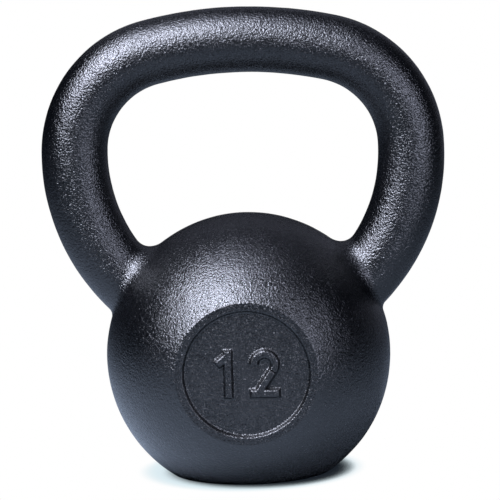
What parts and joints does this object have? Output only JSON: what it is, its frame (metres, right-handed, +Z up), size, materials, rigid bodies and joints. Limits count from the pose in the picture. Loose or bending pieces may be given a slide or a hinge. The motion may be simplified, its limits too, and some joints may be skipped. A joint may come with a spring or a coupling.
{
  "type": "cast iron kettlebell",
  "caption": "Cast-iron kettlebell: a ball with a flat base and flat faces under an arched round grip, with a plugged ballast pocket in the base.",
  "frame": {"origin": "middle of the flat base, on the surface that the kettlebell stands on", "axes": "+Z up, +X across the handle to the viewer's right, +Y away from the marked front face"},
  "size_m": [0.199, 0.123, 0.2308],
  "materials": {
    "powder_coat": "black, fine-grained satin powder coat over cast iron",
    "plug_steel": "turned steel under a thin black coat",
    "steel_shot": "bare steel shot"
  },
  "bodies": {
    "root": {"bell": "powder_coat", "handle": "powder_coat", "base_plug": "plug_steel", "calibration_ballast": "steel_shot"}
  },
  "joints": []
}
